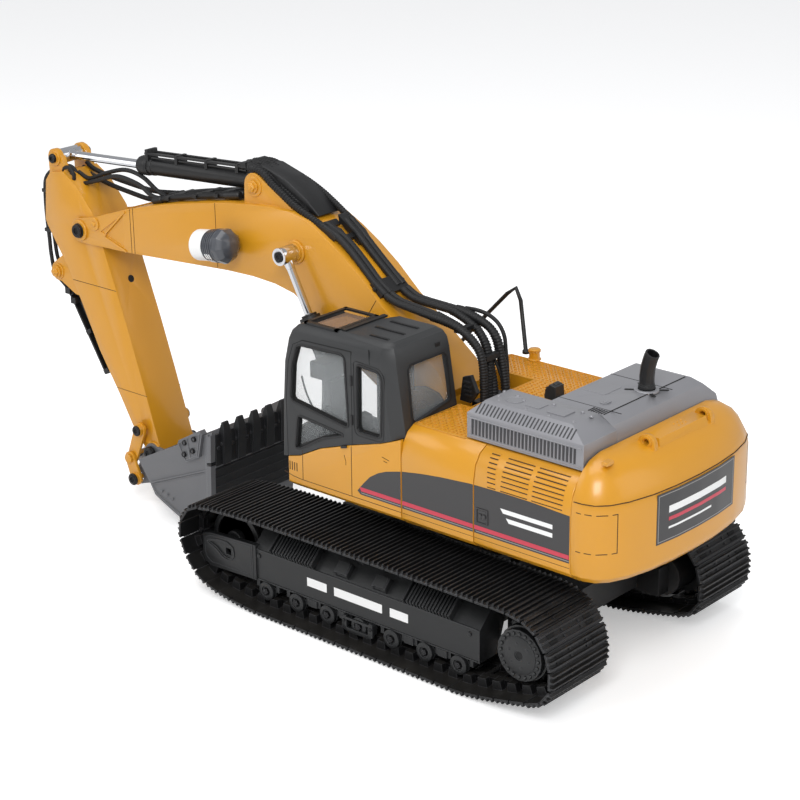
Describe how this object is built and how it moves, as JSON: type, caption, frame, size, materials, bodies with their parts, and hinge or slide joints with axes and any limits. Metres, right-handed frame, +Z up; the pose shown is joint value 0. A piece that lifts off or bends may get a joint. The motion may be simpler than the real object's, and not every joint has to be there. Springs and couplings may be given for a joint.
{
  "type": "rc excavator",
  "caption": "Radio-controlled tracked excavator: crawler undercarriage, rotating upper body with cab and engine hood, boom, arm and bucket worked by cylinders.",
  "frame": {"origin": "middle of the overall length with the arm tucked in, on the centre plane of the tracks, at ground level (the swing axis is 92.4 mm behind it)", "axes": "+X forward towards the bucket, +Y left towards the cab side, +Z up"},
  "size_m": [0.5288, 0.2, 0.2526],
  "materials": {
    "body_paint": "glossy moulded paint",
    "hood_paint": "satin grey paint",
    "cab_plastic": "satin dark grey",
    "black_plastic": "matt black",
    "frame_plastic": "satin black",
    "track_metal": "satin black",
    "bucket_metal": "satin grey, worn",
    "chrome": "polished",
    "pin_steel": "brushed",
    "hose_rubber": "matt",
    "window_glass": "clear",
    "hatch_glass": "tinted",
    "battery_sleeve": "shrink sleeve"
  },
  "bodies": {
    "undercarriage": {"chassis_frame": "black_plastic", "slew_ring_gear": "pin_steel", "track_frame_left": "frame_plastic", "track_frame_right": "frame_plastic", "track_belt_left": "track_metal", "track_belt_right": "track_metal", "final_drive_left": "black_plastic", "final_drive_right": "black_plastic", "lower_rollers_left": "frame_plastic", "lower_rollers_right": "frame_plastic"},
    "drive_sprocket_left": {"sprocket_left": "frame_plastic"},
    "drive_sprocket_right": {"sprocket_right": "frame_plastic"},
    "front_idler_left": {"idler_left": "black_plastic"},
    "front_idler_right": {"idler_right": "black_plastic"},
    "switch": {"power_switch": "frame_plastic"},
    "upper_body": {"upper_deck": "black_plastic", "counterweight": "body_paint", "left_front_cover": "body_paint", "left_mid_cover": "body_paint", "left_rear_door": "body_paint", "right_body": "body_paint", "hood_left": "hood_paint", "precleaner_cap": "black_plastic", "fuel_cap": "body_paint", "handrail": "black_plastic", "cab_shell": "cab_plastic", "cab_left_glazing": "window_glass", "cab_right_glazing": "window_glass", "cab_windscreen": "window_glass", "cab_rear_glazing": "window_glass", "cab_roof_hatch": "hatch_glass", "operator_seat": "black_plastic", "control_console": "frame_plastic", "battery_pack": "battery_sleeve", "swing_motor": "pin_steel", "boom_foot_pin": "pin_steel"},
    "engine_hood": {"hood_main": "hood_paint", "exhaust_stack": "black_plastic"},
    "pinion": {"swing_pinion": "pin_steel"},
    "boom": {"boom": "body_paint", "work_light": "cab_plastic", "boom_pipes": "black_plastic", "boom_hose_bundle": "hose_rubber", "hose_manifold": "black_plastic", "arm_pivot_pin": "pin_steel"},
    "boom_barrel_left": {"boom_cylinder_barrel_left": "black_plastic"},
    "boom_barrel_right": {"boom_cylinder_barrel_right": "black_plastic"},
    "boom_rod_left": {"boom_cylinder_rod_left": "chrome"},
    "boom_rod_right": {"boom_cylinder_rod_right": "chrome"},
    "arm_barrel": {"arm_cylinder_barrel": "black_plastic"},
    "arm_rod": {"arm_cylinder_rod": "chrome"},
    "arm": {"arm": "body_paint", "bucket_pivot_pin": "pin_steel"},
    "bucket_barrel": {"bucket_cylinder_barrel": "black_plastic"},
    "bucket_rod": {"bucket_cylinder_rod": "chrome"},
    "rocker": {"rocker_link": "body_paint"},
    "link": {"push_link": "body_paint"},
    "bucket": {"bucket": "bucket_metal", "bucket_teeth": "bucket_metal"}
  },
  "joints": [
    {"name": "swing", "type": "hinge", "parent": "undercarriage", "child": "upper_body", "pos_m": [-0.09239, 0, 0.081], "axis": [0, 0, 1], "continuous": true},
    {"name": "swing_pinion_spin", "type": "hinge", "parent": "upper_body", "child": "pinion", "pos_m": [-0.13654, 0, 0.07], "axis": [0, 0, 1], "continuous": true},
    {"name": "track_drive_left", "type": "hinge", "parent": "undercarriage", "child": "drive_sprocket_left", "pos_m": [-0.20919, 0.08, 0.0336], "axis": [0, 1, 0], "continuous": true},
    {"name": "idler_spin_left", "type": "hinge", "parent": "undercarriage", "child": "front_idler_left", "pos_m": [0.02331, 0.072, 0.0334], "axis": [0, 1, 0], "continuous": true},
    {"name": "track_drive_right", "type": "hinge", "parent": "undercarriage", "child": "drive_sprocket_right", "pos_m": [-0.20919, -0.08, 0.0336], "axis": [0, 1, 0], "continuous": true},
    {"name": "idler_spin_right", "type": "hinge", "parent": "undercarriage", "child": "front_idler_right", "pos_m": [0.02331, -0.072, 0.0334], "axis": [0, 1, 0], "continuous": true},
    {"name": "power_switch_slide", "type": "slide", "parent": "undercarriage", "child": "switch", "axis": [1, 0, 0], "range_m": [0, 0.0015]},
    {"name": "engine_hood_lift", "type": "slide", "parent": "upper_body", "child": "engine_hood", "axis": [0, 0, 1], "range_m": [0, 0.03]},
    {"name": "boom_lift", "type": "hinge", "parent": "upper_body", "child": "boom", "pos_m": [-0.08239, 0, 0.128], "axis": [0, -1, 0], "range_deg": [0, 38]},
    {"name": "boom_barrel_left_pivot", "type": "hinge", "parent": "upper_body", "child": "boom_barrel_left", "pos_m": [-0.03439, 0.0271, 0.097], "axis": [0, -1, 0], "range_deg": [-1, 40]},
    {"name": "boom_barrel_right_pivot", "type": "hinge", "parent": "upper_body", "child": "boom_barrel_right", "pos_m": [-0.03439, -0.0271, 0.097], "axis": [0, -1, 0], "range_deg": [-1, 40]},
    {"name": "boom_rod_left_pivot", "type": "hinge", "parent": "boom", "child": "boom_rod_left", "pos_m": [0.02261, 0.0271, 0.206], "axis": [0, -1, 0], "range_deg": [-8, 1]},
    {"name": "boom_rod_right_pivot", "type": "hinge", "parent": "boom", "child": "boom_rod_right", "pos_m": [0.02261, -0.0271, 0.206], "axis": [0, -1, 0], "range_deg": [-8, 1]},
    {"name": "arm_curl", "type": "hinge", "parent": "boom", "child": "arm", "pos_m": [0.22561, 0, 0.184], "axis": [0, -1, 0], "range_deg": [0, 50]},
    {"name": "arm_barrel_pivot", "type": "hinge", "parent": "boom", "child": "arm_barrel", "pos_m": [0.06161, 0, 0.24], "axis": [0, -1, 0], "range_deg": [-1, 5]},
    {"name": "arm_rod_stroke", "type": "slide", "parent": "arm_barrel", "child": "arm_rod", "axis": [0.9984, 0, -0.0572], "range_m": [-0.048, 0.001]},
    {"name": "bucket_curl", "type": "hinge", "parent": "arm", "child": "bucket", "pos_m": [0.16561, 0, 0.0375], "axis": [0, -1, 0], "range_deg": [0, 75]},
    {"name": "rocker_pivot", "type": "hinge", "parent": "arm", "child": "rocker", "pos_m": [0.17441, 0, 0.0523], "axis": [0, -1, 0], "range_deg": [-1, 82]},
    {"name": "push_link_pivot", "type": "hinge", "parent": "rocker", "child": "link", "pos_m": [0.18347, 0, 0.03007], "axis": [0, -1, 0], "range_deg": [-98, 1]},
    {"name": "bucket_barrel_pivot", "type": "hinge", "parent": "arm", "child": "bucket_barrel", "pos_m": [0.25761, 0, 0.148], "axis": [0, -1, 0], "range_deg": [-1, 3]},
    {"name": "bucket_rod_stroke", "type": "slide", "parent": "bucket_barrel", "child": "bucket_rod", "axis": [-0.5322, 0, -0.8466], "range_m": [-0.034, 0.001]}
  ],
  "couplings": [
    {"joint": "swing_pinion_spin", "follows": "swing", "ratio": 4},
    {"joint": "idler_spin_left", "follows": "track_drive_left", "ratio": 1},
    {"joint": "idler_spin_right", "follows": "track_drive_right", "ratio": 1},
    {"joint": "boom_barrel_left_pivot", "follows": "boom_lift", "ratio": 0.8677},
    {"joint": "boom_barrel_right_pivot", "follows": "boom_lift", "ratio": 0.8677},
    {"joint": "boom_rod_left_pivot", "follows": "boom_lift", "ratio": -0.1323},
    {"joint": "boom_rod_right_pivot", "follows": "boom_lift", "ratio": -0.1323},
    {"joint": "arm_barrel_pivot", "follows": "arm_curl", "ratio": 0.046},
    {"joint": "arm_rod_stroke", "follows": "arm_curl", "m_per_rad": -0.05125},
    {"joint": "rocker_pivot", "follows": "bucket_curl", "ratio": 1.0291},
    {"joint": "push_link_pivot", "follows": "bucket_curl", "ratio": -1.2414},
    {"joint": "bucket_barrel_pivot", "follows": "bucket_curl", "ratio": 0.014},
    {"joint": "bucket_rod_stroke", "follows": "bucket_curl", "m_per_rad": -0.023}
  ]
}
